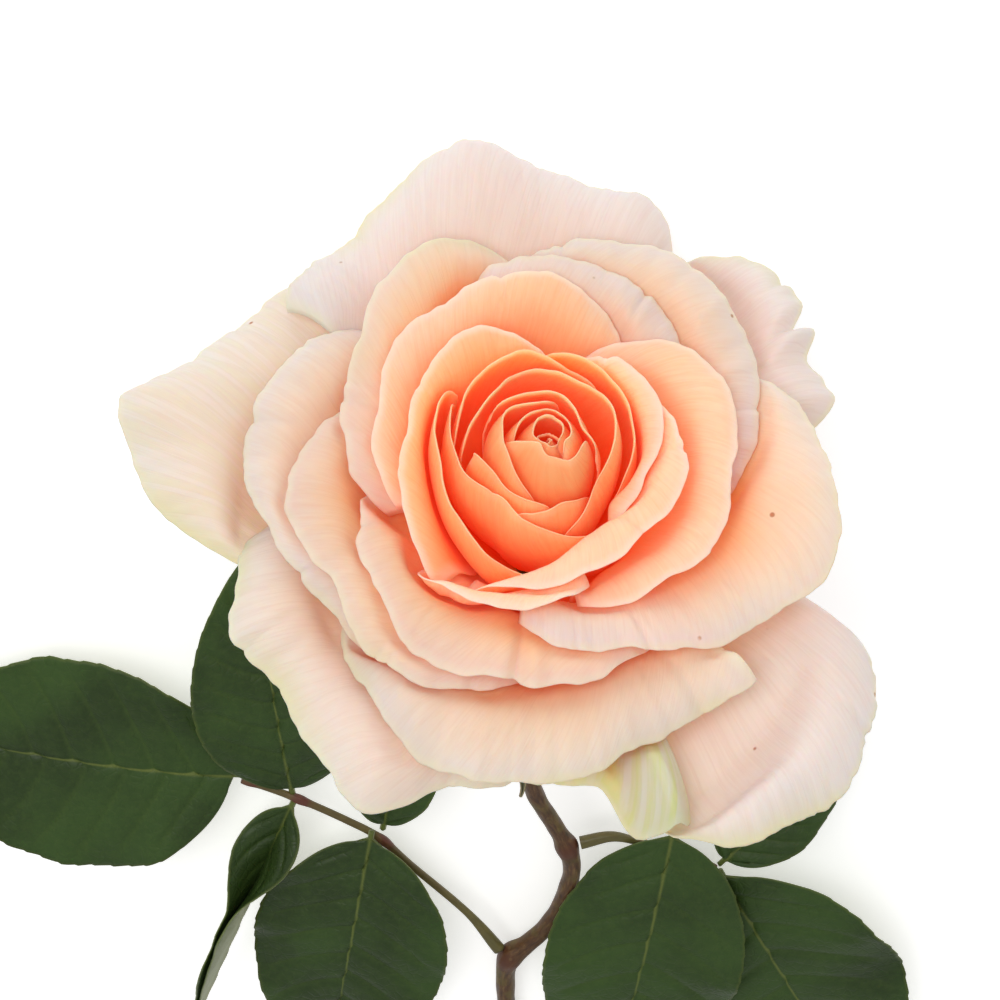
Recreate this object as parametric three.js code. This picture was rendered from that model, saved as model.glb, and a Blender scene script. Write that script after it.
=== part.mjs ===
// A cut rose that lies on its side: the open bloom with its petals, the five sepals, the stem with
// its hip, and two compound leaves. Millimetres; the table is z = 0, the stem lies
// along -Y and the bloom faces +Y and up.
import * as THREE from "three";

// Driving dimensions
const PETAL_THICKNESS = 0.4;
const LAYER_GAP = 1.02; // between the middles of two petals that lie on each other
const RECEPTACLE_RADIUS = 6.9; // the round top of the hip, which carries the petals
const PETAL_FOOT = 7.5; // petals start this far from the flower's centre
const LEAFLET_THICKNESS = 0.6;
const STEM_RADIUS = 1.8;
const NECK_RADIUS = 1.5;
const RACHIS_RADIUS = 0.75;

const flowerCentre = new THREE.Vector3(0, 0, 35.9);
const bloomTilt = 30; // the bloom's axis rises this much from the table, in degrees
const bloomLean = 4; // and it leans this much to the right

const rose = new THREE.Group();
const petalFresh = new THREE.MeshStandardMaterial({ color: 0xff8a55, roughness: 0.6 });
const petalPale = new THREE.MeshStandardMaterial({ color: 0xf8c8a4, roughness: 0.6 });
const petalGuard = new THREE.MeshStandardMaterial({ color: 0xf0ddd0, roughness: 0.65 });
const leafGreen = new THREE.MeshStandardMaterial({ color: 0x3c5a2c, roughness: 0.5 });
const sepalGreen = new THREE.MeshStandardMaterial({ color: 0x5d7a3a, roughness: 0.6 });
const stemBrown = new THREE.MeshStandardMaterial({ color: 0x5f3c28, roughness: 0.6 });

const radians = THREE.MathUtils.degToRad;
const clamp = THREE.MathUtils.clamp;
const smoothstep = THREE.MathUtils.smoothstep;
const upright = new THREE.Vector3(0, 0, 1);

// The flower's own axes: out is the way it faces, down points at the table, side to the right.
const out = new THREE.Vector3(
  Math.sin(radians(bloomLean)),
  Math.cos(radians(bloomLean)) * Math.cos(radians(bloomTilt)),
  Math.cos(radians(bloomLean)) * Math.sin(radians(bloomTilt)),
);
const side = new THREE.Vector3(0, 0, 1).cross(out).negate().normalize();
const down = out.clone().cross(side).normalize();

// A point of the flower from its turn round the axis (0 right, 90 to the table, 180 left, 270 up),
// its opening angle from the axis and its reach from the centre.
function flowerPoint(turn, opening, reach) {
  const radius = reach * Math.sin(radians(opening));
  return flowerCentre
    .clone()
    .addScaledVector(side, radius * Math.cos(radians(turn)))
    .addScaledVector(down, radius * Math.sin(radians(turn)))
    .addScaledVector(out, reach * Math.cos(radians(opening)));
}

// A smooth value along a list of evenly spaced values, at t from 0 to 1.
function along(values, t) {
  const place = clamp(t, 0, 1) * (values.length - 1);
  const i = Math.min(Math.floor(place), values.length - 2);
  const f = place - i;
  const before = values[i - 1] ?? 2 * values[i] - values[i + 1];
  const after = values[i + 2] ?? 2 * values[i + 1] - values[i];
  const slopeA = (values[i + 1] - before) / 2;
  const slopeB = (after - values[i]) / 2;
  const rise = values[i + 1] - values[i];
  return values[i] + f * (slopeA + f * (3 * rise - 2 * slopeA - slopeB + f * (slopeA + slopeB - 2 * rise)));
}

// A closed thin solid round a grid of points, half its thickness on each side of the grid.
function sheetGeometry(grid, thickness) {
  const rows = grid.length;
  const columns = grid[0].length;
  const positions = [];
  const normals = grid.map((row, i) =>
    row.map((point, j) => {
      const alongRow = grid[i][Math.min(j + 1, columns - 1)].clone().sub(grid[i][Math.max(j - 1, 0)]);
      const alongColumn = grid[Math.min(i + 1, rows - 1)][j].clone().sub(grid[Math.max(i - 1, 0)][j]);
      return alongRow.cross(alongColumn).normalize();
    }),
  );
  for (const way of [1, -1]) {
    grid.forEach((row, i) =>
      row.forEach((point, j) => {
        const p = point.clone().addScaledVector(normals[i][j], (way * thickness) / 2);
        positions.push(p.x, p.y, p.z);
      }),
    );
  }
  const front = (i, j) => i * columns + j;
  const back = (i, j) => rows * columns + front(i, j);
  const indices = [];
  const quad = (a, b, c, d) => indices.push(a, b, c, a, c, d);
  for (let i = 0; i < rows - 1; i++) {
    for (let j = 0; j < columns - 1; j++) {
      quad(front(i, j), front(i, j + 1), front(i + 1, j + 1), front(i + 1, j));
      quad(back(i, j), back(i + 1, j), back(i + 1, j + 1), back(i, j + 1));
    }
    quad(front(i, 0), front(i + 1, 0), back(i + 1, 0), back(i, 0));
    quad(front(i + 1, columns - 1), front(i, columns - 1), back(i, columns - 1), back(i + 1, columns - 1));
  }
  for (let j = 0; j < columns - 1; j++) {
    quad(front(0, j + 1), front(0, j), back(0, j), back(0, j + 1));
    quad(front(rows - 1, j), front(rows - 1, j + 1), back(rows - 1, j + 1), back(rows - 1, j));
  }
  const geometry = new THREE.BufferGeometry();
  geometry.setAttribute("position", new THREE.Float32BufferAttribute(positions, 3));
  geometry.setIndex(indices);
  geometry.computeVertexNormals();
  return geometry;
}

// A closed round rod along a curve, with a ring of points at each of the given distances.
function rodGeometry(curve, distances, radiusAt, sides) {
  const length = curve.getLength();
  const positions = [];
  for (const distance of distances) {
    const centre = curve.getPointAt(distance / length);
    const tangent = curve.getTangentAt(distance / length);
    const across = tangent.clone().cross(upright).normalize();
    const above = across.clone().cross(tangent);
    for (let k = 0; k < sides; k++) {
      const angle = (2 * Math.PI * k) / sides;
      const p = centre
        .clone()
        .addScaledVector(across, radiusAt(distance) * Math.cos(angle))
        .addScaledVector(above, radiusAt(distance) * Math.sin(angle));
      positions.push(p.x, p.y, p.z);
    }
  }
  const start = positions.length / 3;
  const last = (distances.length - 1) * sides;
  for (const end of [distances[0], distances.at(-1)]) {
    const p = curve.getPointAt(end / length);
    positions.push(p.x, p.y, p.z);
  }
  const indices = [];
  for (let k = 0; k < sides; k++) {
    const next = (k + 1) % sides;
    for (let a = 0; a < last; a += sides) {
      indices.push(a + k, a + sides + next, a + next, a + k, a + sides + k, a + sides + next);
    }
    indices.push(start, k, next, start + 1, last + next, last + k);
  }
  const geometry = new THREE.BufferGeometry();
  geometry.setAttribute("position", new THREE.Float32BufferAttribute(positions, 3));
  geometry.setIndex(indices);
  geometry.computeVertexNormals();
  return geometry;
}

function addPart(name, geometry, material) {
  const mesh = new THREE.Mesh(geometry, material);
  mesh.name = name;
  rose.add(mesh);
}

// --- The bloom ---
// How far open the petals placed so far are, on a grid of turn and reach. Each further petal lies
// outside it, and the grid slopes away from every petal's edge so that outer petals drape over it.
const TURN_STEP = 5;
const REACH_STEP = 2;
const TURN_CELLS = 360 / TURN_STEP;
const REACH_CELLS = 40;
const FILL_SAMPLES = 60;
const SLOPE_PER_TURN_CELL = 1.7;
const SLOPE_PER_REACH_CELL = 2.6;
const RELAX_PASSES = 10;
const CONTACT_SOFTNESS = 1.5; // degrees over which a petal eases off the petals inside it
const filled = Array.from({ length: TURN_CELLS }, () => new Float64Array(REACH_CELLS));

function filledOpening(turn, reach) {
  const t = (((turn % 360) + 360) % 360) / TURN_STEP;
  const r = clamp(reach / REACH_STEP, 0, REACH_CELLS - 1.001);
  const i = Math.floor(t);
  const j = Math.floor(r);
  const next = (i + 1) % TURN_CELLS;
  const low = filled[i % TURN_CELLS][j] * (1 - (t - i)) + filled[next][j] * (t - i);
  const high = filled[i % TURN_CELLS][j + 1] * (1 - (t - i)) + filled[next][j + 1] * (t - i);
  return low + (high - low) * (r - j);
}

function fillPetal(surface) {
  const samples = [];
  for (let a = 0; a <= FILL_SAMPLES; a++) {
    for (let b = 0; b <= FILL_SAMPLES; b++) samples.push(surface(a / FILL_SAMPLES, b / FILL_SAMPLES));
  }
  for (const [turn, opening, reach] of samples) {
    const t = (((turn % 360) + 360) % 360) / TURN_STEP;
    const j = Math.min(Math.floor(reach / REACH_STEP), REACH_CELLS - 2);
    for (const i of [Math.floor(t), Math.ceil(t)]) {
      const column = filled[i % TURN_CELLS];
      column[j] = Math.max(column[j], opening);
      column[j + 1] = Math.max(column[j + 1], opening);
    }
  }
  for (let pass = 0; pass < RELAX_PASSES; pass++) {
    for (let i = 0; i < TURN_CELLS; i++) {
      const left = filled[(i + TURN_CELLS - 1) % TURN_CELLS];
      const right = filled[(i + 1) % TURN_CELLS];
      for (let j = 0; j < REACH_CELLS; j++) {
        const lower = filled[i][Math.max(j - 1, 0)];
        const upper = filled[i][Math.min(j + 1, REACH_CELLS - 1)];
        filled[i][j] = Math.max(
          filled[i][j],
          Math.max(left[j], right[j]) - SLOPE_PER_TURN_CELL,
          Math.max(lower, upper) - SLOPE_PER_REACH_CELL,
        );
      }
    }
  }
}

const FOOT_SPREAD = 0.45; // how wide a petal's foot is next to its rim
const FULL_WIDTH_UP = 0.667; // how far up a petal reaches its full width
const FLARE_START_UP = 0.66; // how far up its rim starts to roll outwards

// One petal as a surface of (across, up), both 0 to 1. Its rim runs from one turn to another with
// evenly spaced openings and reaches; belly swells its middle and flare rolls its rim outwards.
function petalSurface({ turns, opening, reach, belly, flare }) {
  const middle = (turns[0] + turns[1]) / 2;
  const half = (turns[1] - turns[0]) / 2;
  return (across, up) => {
    const widening = Math.sin((Math.PI / 2) * Math.min(1, up / FULL_WIDTH_UP));
    const spread = FOOT_SPREAD + (1 - FOOT_SPREAD) * widening;
    const turn = middle + (2 * across - 1) * half * spread;
    const distance = PETAL_FOOT + (along(reach, across) - PETAL_FOOT) * up;
    const crest = along(opening, across) - flare;
    const wanted = crest + belly * 4 * up * (1 - up) + flare * smoothstep(up, FLARE_START_UP, 1);
    const inside = filledOpening(turn, distance);
    const free = inside > 0 ? inside + THREE.MathUtils.radToDeg(LAYER_GAP / distance) : 0;
    const gap = wanted - free;
    return [turn, (wanted + free + Math.sqrt(gap * gap + CONTACT_SOFTNESS ** 2)) / 2, distance];
  };
}

const ROW_CROWDING = 1.35; // above 1, rows of points lie closer towards the rim

function addPetal(name, material, columns, rows, shape) {
  const surface = petalSurface(shape);
  const grid = [];
  for (let i = 0; i <= rows; i++) {
    const up = 1 - (1 - i / rows) ** ROW_CROWDING;
    const row = [];
    for (let j = 0; j <= columns; j++) row.push(flowerPoint(...surface(j / columns, up)));
    grid.push(row);
  }
  addPart(name, sheetGeometry(grid, PETAL_THICKNESS), material);
  fillPetal(surface);
}

// From the heart outwards. Turns in degrees, openings in degrees and reaches in millimetres, both
// evenly spaced along the rim.
const heartPetals = {
  heart_1: {
    turns: [-60, 330],
    opening: [2, 3, 2.3, 1.7, 1.2, 0.8],
    reach: [45.5, 46, 46, 44, 42, 42],
  },
  heart_2: { turns: [-52, 185], opening: [2.9, 3.3, 3, 4.4, 5.9], reach: [45.5, 46, 46, 46, 45.5] },
  heart_3: { turns: [181, 367], opening: [7.6, 1.5, 3.6, 5.2, 5.9], reach: [45, 45.3, 44.3, 44.2, 46] },
  heart_4: {
    turns: [75, 267],
    opening: [3.3, 6.2, 9.5, 7.8, 8.8, 10.5],
    reach: [46.5, 46.5, 46.2, 44.5, 42.3, 38],
  },
  heart_5: { turns: [-10, 155], opening: [6.1, 5.3, 7, 8.3, 10.2], reach: [45, 46.5, 47, 46.5, 46.2] },
  heart_6: { turns: [186, 281], opening: [15.2, 12.1, 12, 12, 12.6], reach: [44, 43, 42, 41, 39] },
  heart_7: { turns: [242, 335], opening: [14, 12.9, 12.6, 12.4], reach: [40, 40, 39, 35] },
  heart_8: {
    turns: [-81, 187],
    opening: [17, 12.9, 12.5, 13.9, 12.1, 13.6, 13.2, 17],
    reach: [36, 38.3, 45, 46.5, 47, 47, 46, 43],
  },
  heart_9: { turns: [40, 185], opening: [16, 15.5, 16.7, 18.6, 17.6], reach: [43, 45.5, 49, 46, 41.5] },
  heart_10: { turns: [152, 322], opening: [19, 18, 15.2, 17.5, 22.5], reach: [46, 43.5, 42, 39, 36.5] },
  heart_11: { turns: [-20, 110], opening: [17, 18, 18, 18, 18], reach: [40, 44, 46, 47, 44] },
  heart_12: {
    turns: [145, 278],
    opening: [22.6, 22, 22, 23.5, 27, 29],
    reach: [46, 46, 44.5, 42, 38.5, 36],
  },
};
const innerPetals = {
  inner_1: { turns: [-45, 82], opening: [22, 21, 22, 24, 23], reach: [40, 43, 46, 47, 43] },
  inner_2: { turns: [85, 233], opening: [23, 27, 28, 28, 31, 37], reach: [42, 48, 47, 46, 44, 42] },
  inner_3: {
    turns: [240, 405],
    opening: [31, 29, 27, 26, 25, 23],
    reach: [42, 44, 46.5, 47.5, 47, 43],
    flare: 10,
  },
  inner_4: { turns: [223, 292], opening: [38, 36, 34, 32, 30], reach: [42, 45, 46, 46, 43] },
  inner_5: { turns: [-75, 78], opening: [34, 35, 36, 36, 30], reach: [44, 49, 49, 50, 42] },
  inner_6: { turns: [58, 197], opening: [34, 36, 36, 36, 36], reach: [44, 52, 51, 46, 42] },
};
const middlePetals = {
  middle_1: { turns: [40, 112], opening: [39, 41, 42, 42, 42], reach: [46, 50, 53, 53, 52] },
  middle_2: { turns: [98, 194], opening: [45, 46, 45, 43, 42, 40], reach: [53, 57.5, 54, 49, 45, 40] },
  middle_3: { turns: [-4, 100], opening: [42, 44, 48, 48, 46], reach: [44, 50, 56, 57, 52] },
  middle_4: {
    turns: [-96, 36],
    opening: [37, 42, 48, 51, 49, 46],
    reach: [46, 49.5, 52, 58, 56.5, 51],
  },
  middle_5: { turns: [186, 306], opening: [39, 43, 46, 47, 46, 45], reach: [42, 45, 48, 49, 50, 45] },
  middle_6: { turns: [156, 270], opening: [46, 49, 50, 51, 50], reach: [45, 50, 49, 50, 44] },
  middle_7: { turns: [133, 234], opening: [51, 54, 55, 54, 55], reach: [48, 55, 54, 49, 44] },
  middle_8: { turns: [217, 315], opening: [55, 58, 60, 59, 57, 53], reach: [43, 52, 57, 56, 54, 57] },
};
const guardPetals = {
  guard_1: {
    turns: [184, 274],
    opening: [63, 65, 66, 67, 65],
    reach: [45, 51.3, 54, 57, 55.2, 56.3, 60.6, 63, 53.8, 50, 45],
  },
  guard_2: {
    turns: [64, 144],
    opening: [61, 61, 61, 61, 61],
    reach: [56, 63.5, 64.3, 65.5, 68, 71.6, 68.4, 63.8, 61, 61.5, 61],
  },
  guard_3: {
    turns: [264, 297],
    opening: [66, 67, 66, 66],
    reach: [44, 47, 48, 48, 49, 52, 60, 63, 60],
  },
  guard_4: {
    turns: [131, 197],
    opening: [67, 68, 69, 69, 67],
    reach: [56, 60.5, 61, 61.5, 63.5, 68, 72, 66.5, 61.5, 56, 48],
  },
  guard_5: {
    turns: [18, 68],
    opening: [60, 60, 60, 60, 60],
    reach: [46, 56, 57, 57.6, 61.5, 62.5, 62.8, 62.3, 61.2, 58.6, 54],
  },
  guard_6: {
    turns: [291.5, 346],
    opening: [66, 67, 67, 67, 64],
    reach: [61, 69.8, 71, 70.6, 70, 69.5, 67.5, 65, 61.5, 54, 45],
  },
};
const petalSets = [
  { shapes: heartPetals, material: petalFresh, belly: 9, flare: 1 },
  { shapes: innerPetals, material: petalFresh, belly: 4, flare: 6 },
  { shapes: middlePetals, material: petalPale, belly: 2, flare: 10 },
  { shapes: guardPetals, material: petalGuard, belly: 0, flare: 8 },
];
const DEGREES_PER_COLUMN = 17;
const MIN_COLUMNS = 10;
const PETAL_ROWS = 6;
for (const { shapes, material, belly, flare } of petalSets) {
  for (const [name, shape] of Object.entries(shapes)) {
    const width = shape.turns[1] - shape.turns[0];
    const columns = Math.max(MIN_COLUMNS, Math.round(width / DEGREES_PER_COLUMN));
    addPetal(`petal_${name}`, material, columns, PETAL_ROWS, { belly, flare, ...shape });
  }
}

// --- Sepals: five narrow pointed ones, bent back behind the guard petals ---
const SEPAL_LENGTH = 27;
const SEPAL_HALF_WIDTH = 3.6;
const SEPAL_THICKNESS = 0.7;
const SEPAL_OPENING = 112; // where they leave the hip
const SEPAL_ROWS = 7;
const SEPAL_COUNT = 5;
const FIRST_SEPAL_TURN = 54;
for (let i = 0; i < SEPAL_COUNT; i++) {
  const grid = [];
  for (let row = 0; row <= SEPAL_ROWS; row++) {
    const up = row / SEPAL_ROWS;
    const halfWidth = SEPAL_HALF_WIDTH * (1 - 0.85 * up * up);
    const reach = PETAL_FOOT + 0.6 + SEPAL_LENGTH * up;
    grid.push(
      [-1, -0.5, 0, 0.5, 1].map((across) => {
        const turn =
          FIRST_SEPAL_TURN + (360 / SEPAL_COUNT) * i + THREE.MathUtils.radToDeg((across * halfWidth) / reach);
        return flowerPoint(turn, SEPAL_OPENING + 10 * up - 3 * across * across, reach);
      }),
    );
  }
  addPart(`sepal_${i + 1}`, sheetGeometry(grid, SEPAL_THICKNESS), sepalGreen);
}

// --- Stem with the hip: one grown piece, bent at its two leaf nodes ---
const point = (x, y, z) => new THREE.Vector3(x, y, z);
const stemCurve = new THREE.CatmullRomCurve3(
  [
    flowerPoint(0, 0, RECEPTACLE_RADIUS),
    flowerPoint(0, 180, 17),
    point(-0.5, -34, 23.2),
    point(1.7, -53.6, 18.6),
    point(5.5, -64, 15),
    point(7.9, -70.1, 13.5),
    point(8.9, -75.9, 12),
    point(7.8, -83.3, 10.3),
    point(4.7, -91.7, 8.5),
    point(0.8, -97.2, 7.2),
    point(-2.3, -101, 6.3),
    point(-3.1, -110, 4.6),
    point(0, -140, STEM_RADIUS + 0.1),
    point(3, -175, STEM_RADIUS + 0.1),
    point(0, -212, STEM_RADIUS + 0.1),
  ],
  false,
  "centripetal",
);
const stemLength = stemCurve.getLength();
const HIP_END = 21; // distances along the stem from the top of the hip
const LEAF_NODES = [82, 117];
const NODE_SWELLING = 0.6;
const NODE_HALF_LENGTH = 3;
const DOME_WIDTH = 0.93; // the hip's width next to a ball of the receptacle's radius

function stemRadius(distance) {
  if (distance < HIP_END) {
    const crown = RECEPTACLE_RADIUS - Math.min(distance + 0.4, RECEPTACLE_RADIUS);
    const dome = Math.sqrt(RECEPTACLE_RADIUS ** 2 - crown ** 2) * DOME_WIDTH;
    return dome + (NECK_RADIUS - dome) * smoothstep(distance, 0.35 * HIP_END, HIP_END);
  }
  const plain = NECK_RADIUS + (STEM_RADIUS - NECK_RADIUS) * smoothstep(distance, 60, 130);
  const swelling = LEAF_NODES.map((node) => Math.exp(-(((distance - node) / NODE_HALF_LENGTH) ** 2)));
  return plain + NODE_SWELLING * Math.max(...swelling);
}

const HIP_RING_STEP = 1.6;
const STEM_RING_STEP = 4;
const STEM_SIDES = 10;
const stemRings = [];
for (let d = 0; d < HIP_END; d += HIP_RING_STEP) stemRings.push(d);
for (let d = HIP_END; d < stemLength; d += STEM_RING_STEP) stemRings.push(d);
stemRings[stemRings.length - 1] = stemLength;
addPart("stem", rodGeometry(stemCurve, stemRings, stemRadius, STEM_SIDES), stemBrown);

// --- Leaves: each a leaf stalk with leaflets that stand off it by a small gap ---
const RACHIS_SIDES = 7;
const RACHIS_RING_STEP = 4;
const STIPULE_LENGTH = 12; // the leaf stalk is broader where its stipules clasp the stem
const STIPULE_SWELLING = 0.6;

function addRachis(name, points) {
  const curve = new THREE.CatmullRomCurve3(points, false, "centripetal");
  const length = curve.getLength();
  const steps = Math.round(length / RACHIS_RING_STEP);
  const rings = Array.from({ length: steps + 1 }, (_, i) => (length * i) / steps);
  const radiusAt = (d) => RACHIS_RADIUS * (1 + STIPULE_SWELLING * (1 - smoothstep(d, 0, STIPULE_LENGTH)));
  addPart(name, rodGeometry(curve, rings, radiusAt, RACHIS_SIDES), stemBrown);
}

const STALK_HALF_WIDTH = 0.4;
const LEAFLET_ROWS = 9;
const BROADEST_SHIFT = 0.78; // below 1, the leaflet is broadest nearer its stalk
const OUTLINE_FULLNESS = 0.7; // below 1, the leaflet's ends are rounder

// A leaflet from its stalk to its tip. rise lifts its middle, twist turns it round its midrib and
// fold raises each half from the midrib, both in degrees.
function addLeaflet(name, { base, tip, halfWidth, rise, twist, fold }) {
  const grid = [];
  const direction = tip.clone().sub(base).normalize();
  const flat = direction.clone().cross(upright).normalize();
  const across = flat.clone().applyAxisAngle(direction, radians(twist));
  const above = across.clone().cross(direction);
  for (let row = 0; row <= LEAFLET_ROWS; row++) {
    const t = row / LEAFLET_ROWS;
    const outline = Math.max(0, Math.sin(Math.PI * t ** BROADEST_SHIFT)) ** OUTLINE_FULLNESS;
    const width = STALK_HALF_WIDTH + halfWidth * outline;
    const midrib = base.clone().lerp(tip, t).addScaledVector(upright, rise * 4 * t * (1 - t));
    grid.push(
      [-1, -0.5, 0, 0.5, 1].map((place) =>
        midrib
          .clone()
          .addScaledVector(across, width * place * Math.cos(radians(fold)))
          .addScaledVector(above, width * Math.abs(place) * Math.sin(radians(fold))),
      ),
    );
  }
  addPart(name, sheetGeometry(grid, LEAFLET_THICKNESS), leafGreen);
}

addRachis("leaf_left_rachis", [
  point(-4.7, -98.2, 6.8),
  point(-9.7, -90.1, 7.5),
  point(-20.5, -77.9, 8.3),
  point(-26.2, -71.4, 8.6),
  point(-32.1, -67.4, 8.8),
  point(-40.9, -62.3, 9.2),
  point(-50.2, -58.2, 9.2),
]);
const leftLeaflets = {
  terminal: {
    base: point(-52.2, -57.4, 9.2),
    tip: point(-114, -51.5, 1),
    halfWidth: 22,
    rise: 3,
    twist: 0,
    fold: 4,
  },
  upper_2: {
    base: point(-41.5, -59.6, 9.7),
    tip: point(-46, -9, 13),
    halfWidth: 14,
    rise: 3,
    twist: 0,
    fold: 8,
  },
  lower_2: {
    base: point(-42, -65, 8.9),
    tip: point(-63, -121, 2),
    halfWidth: 9,
    rise: 2,
    twist: 24,
    fold: 60,
  },
  upper_1: {
    base: point(-25, -68, 8.8),
    tip: point(-18, -30, 9.5),
    halfWidth: 8,
    rise: 2,
    twist: 0,
    fold: 20,
  },
  lower_1: {
    base: point(-27.6, -70.6, 10.9),
    tip: point(-37.5, -130, 1.2),
    halfWidth: 17.8,
    rise: 3,
    twist: 8,
    fold: 4,
  },
};
addRachis("leaf_right_rachis", [
  point(11.2, -68.6, 13.5),
  point(15.9, -68.1, 13),
  point(21.1, -70.6, 11.3),
  point(26.8, -73.2, 10.3),
  point(35, -77.2, 10.5),
]);
const rightLeaflets = {
  terminal: {
    base: point(36.6, -79.3, 10.8),
    tip: point(66, -139, 1.5),
    halfWidth: 22,
    rise: 1,
    twist: 9,
    fold: 4,
  },
  lower: {
    base: point(26.6, -68.2, 13.2),
    tip: point(16, -137, 1.2),
    halfWidth: 17.8,
    rise: 5,
    twist: 3,
    fold: 0,
  },
  upper: {
    base: point(36.8, -74.2, 11.4),
    tip: point(57, -46, 8.5),
    halfWidth: 9,
    rise: 2,
    twist: 0,
    fold: 6,
  },
};
for (const [name, shape] of Object.entries(leftLeaflets)) addLeaflet(`leaf_left_${name}`, shape);
for (const [name, shape] of Object.entries(rightLeaflets)) addLeaflet(`leaf_right_${name}`, shape);

// The frame's origin: under the middle of the whole rose, on the table.
const box = new THREE.Box3().setFromObject(rose);
const middle = box.getCenter(new THREE.Vector3());
rose.position.set(-middle.x, -middle.y, -box.min.z);

export default rose;
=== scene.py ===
"""The looks of a cut rose that lies on a table: petals, sepals, leaflets, leaf stalks and the stem.

Lengths are in millimetres and turned into metres when a mesh is made. The flower has its own polar
coordinates round its centre: a turn round the axis it faces along, an opening angle away from that
axis, and a reach from the centre. Petals are laid from the heart outwards, and each lies outside
all the petals before it.
"""

import math

import bpy
import numpy as np
from mathutils import Matrix, Vector


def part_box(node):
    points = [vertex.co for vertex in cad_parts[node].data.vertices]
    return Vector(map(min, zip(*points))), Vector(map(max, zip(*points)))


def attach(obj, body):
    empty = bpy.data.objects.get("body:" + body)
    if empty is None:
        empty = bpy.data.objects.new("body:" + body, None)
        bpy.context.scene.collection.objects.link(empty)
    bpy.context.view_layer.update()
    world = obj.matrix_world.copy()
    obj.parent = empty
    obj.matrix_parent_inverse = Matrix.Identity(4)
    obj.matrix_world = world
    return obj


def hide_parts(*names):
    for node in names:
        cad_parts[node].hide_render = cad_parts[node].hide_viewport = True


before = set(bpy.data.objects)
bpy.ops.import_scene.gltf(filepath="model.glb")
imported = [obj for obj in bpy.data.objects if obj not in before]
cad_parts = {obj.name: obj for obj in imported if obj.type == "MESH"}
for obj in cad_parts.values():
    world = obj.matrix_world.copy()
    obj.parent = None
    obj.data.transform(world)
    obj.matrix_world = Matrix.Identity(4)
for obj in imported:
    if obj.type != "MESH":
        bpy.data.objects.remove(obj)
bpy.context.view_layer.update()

MM = 0.001
STEM_CORNER_FROM_FLOWER = np.array([10.512, 7.033, 6.365])  # the CAD stem's highest corner
FLOWER_HEIGHT = 35.9  # of the flower's centre over the part's own table plane
stem_corner = np.array(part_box("stem")[1]) / MM
flower_centre = stem_corner - STEM_CORNER_FROM_FLOWER
part_origin = flower_centre - np.array([0.0, 0.0, FLOWER_HEIGHT])

# --- The bloom's shape, as in the part ---
PETAL_FOOT = 7.5
BLOOM_TILT = math.radians(30)
BLOOM_LEAN = math.radians(4)
out = np.array(
    [
        math.sin(BLOOM_LEAN),
        math.cos(BLOOM_LEAN) * math.cos(BLOOM_TILT),
        math.cos(BLOOM_LEAN) * math.sin(BLOOM_TILT),
    ]
)
side = np.array([out[1], -out[0], 0.0])
side /= np.linalg.norm(side)
down = np.cross(out, side)
upright = np.array([0.0, 0.0, 1.0])


def flower_point(turn, opening, reach):
    """Points from arrays of turn and opening in degrees and reach in millimetres."""
    turn, opening = np.radians(turn), np.radians(opening)
    radius = reach * np.sin(opening)
    return (
        flower_centre
        + (radius * np.cos(turn))[..., None] * side
        + (radius * np.sin(turn))[..., None] * down
        + (reach * np.cos(opening))[..., None] * out
    )


def along(values, place):
    """A smooth value along a list of evenly spaced values, at each place from 0 to 1."""
    values = np.asarray(values, float)
    padded = np.concatenate([[2 * values[0] - values[1]], values, [2 * values[-1] - values[-2]]])
    place = np.clip(place, 0, 1) * (len(values) - 1)
    i = np.minimum(place.astype(int), len(values) - 2)
    f = place - i
    before, low, high, after = (padded[i + k] for k in range(4))
    slope_low = (high - before) / 2
    slope_high = (after - low) / 2
    rise = high - low
    curve = slope_low + slope_high - 2 * rise
    return low + f * (slope_low + f * (3 * rise - 2 * slope_low - slope_high + f * curve))


def smoothstep(x, low, high):
    t = np.clip((x - low) / (high - low), 0, 1)
    return t * t * (3 - 2 * t)


def waves(rng, place, lengths, heights):
    """A random smooth line over place in millimetres: one sine per wavelength and height."""
    total = np.zeros_like(place)
    for length, height in zip(lengths, heights):
        stretch = rng.uniform(0.85, 1.2)
        start = rng.uniform(0, 2 * math.pi)
        total += height * np.sin(2 * math.pi * place * stretch / length + start)
    return total


# --- Meshes ---
def make_piece(name, points, faces, values, material):
    """A smooth mesh from points in millimetres, which takes the place of the node of its name."""
    mesh = bpy.data.meshes.new(name)
    mesh.from_pydata((points * MM).tolist(), [], faces)
    for key, numbers in values.items():
        attribute = mesh.attributes.new(key, "FLOAT", "POINT")
        attribute.data.foreach_set("value", np.ascontiguousarray(numbers, dtype=np.float32))
    mesh.polygons.foreach_set("use_smooth", [True] * len(mesh.polygons))
    mesh.materials.append(material)
    mesh.update()
    piece = bpy.data.objects.new(name, mesh)
    bpy.context.collection.objects.link(piece)
    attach(piece, "root")
    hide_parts(name)


def grid_normals(grid):
    normals = np.cross(np.gradient(grid, axis=1), np.gradient(grid, axis=0))
    return normals / np.maximum(np.linalg.norm(normals, axis=-1, keepdims=True), 1e-9)


def sheet_faces(rows, columns):
    """The quads of a closed sheet: its front grid, its back grid and the strip round its edge."""
    index = np.arange(rows * columns).reshape(rows, columns)
    a, b = index[:-1, :-1].ravel(), index[:-1, 1:].ravel()
    c, d = index[1:, 1:].ravel(), index[1:, :-1].ravel()
    behind = rows * columns
    front = np.stack([a, b, c, d], 1)
    back = np.stack([a, d, c, b], 1) + behind
    ring = np.concatenate([index[0, :], index[1:, -1], index[-1, -2::-1], index[-2:0:-1, 0]])
    after = np.roll(ring, -1)
    edge = np.stack([after, ring, ring + behind, after + behind], 1)
    return np.concatenate([front, back, edge]).tolist()


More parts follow.
